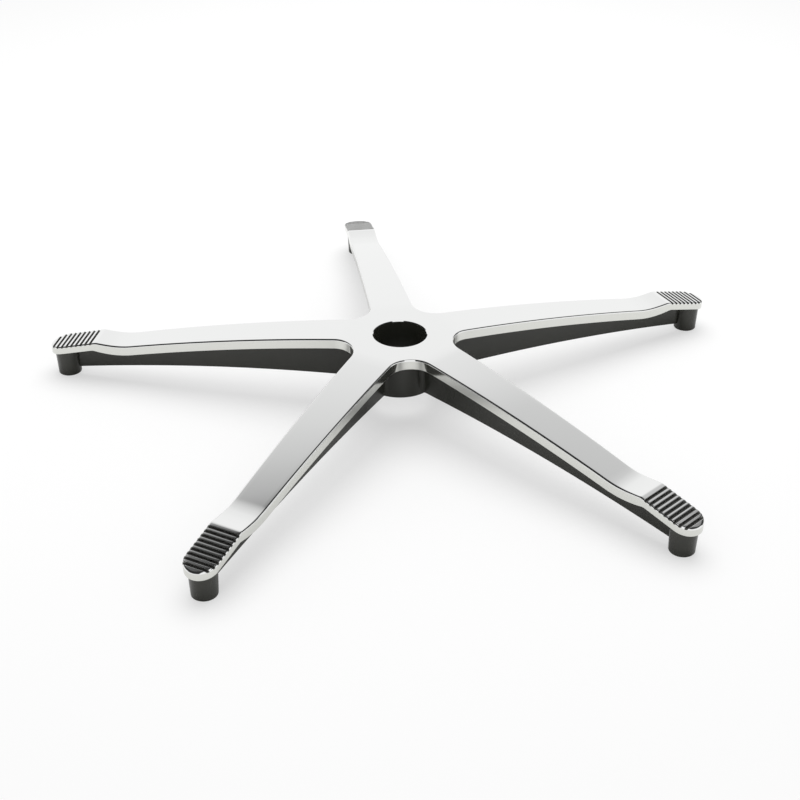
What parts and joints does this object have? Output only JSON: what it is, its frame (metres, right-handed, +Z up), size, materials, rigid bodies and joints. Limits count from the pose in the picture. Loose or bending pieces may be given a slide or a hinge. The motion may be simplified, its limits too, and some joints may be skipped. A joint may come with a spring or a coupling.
{
  "type": "office chair star base",
  "caption": "Star base of an office chair: flat-topped tapering arms with grooved foot treads, deep ribs below, a hub with a column taper, and bosses with stem sockets for casters.",
  "frame": {"origin": "centre of the column taper at the hub's flat top", "axes": "+Z up along the column axis, +Y along one arm; the bosses stand on the floor at z = -71.5 mm"},
  "size_m": [0.6576, 0.627, 0.0715],
  "materials": {
    "star_base": "polished top, dark coated underside"
  },
  "bodies": {
    "root": {"star_base": "star_base"}
  },
  "joints": []
}
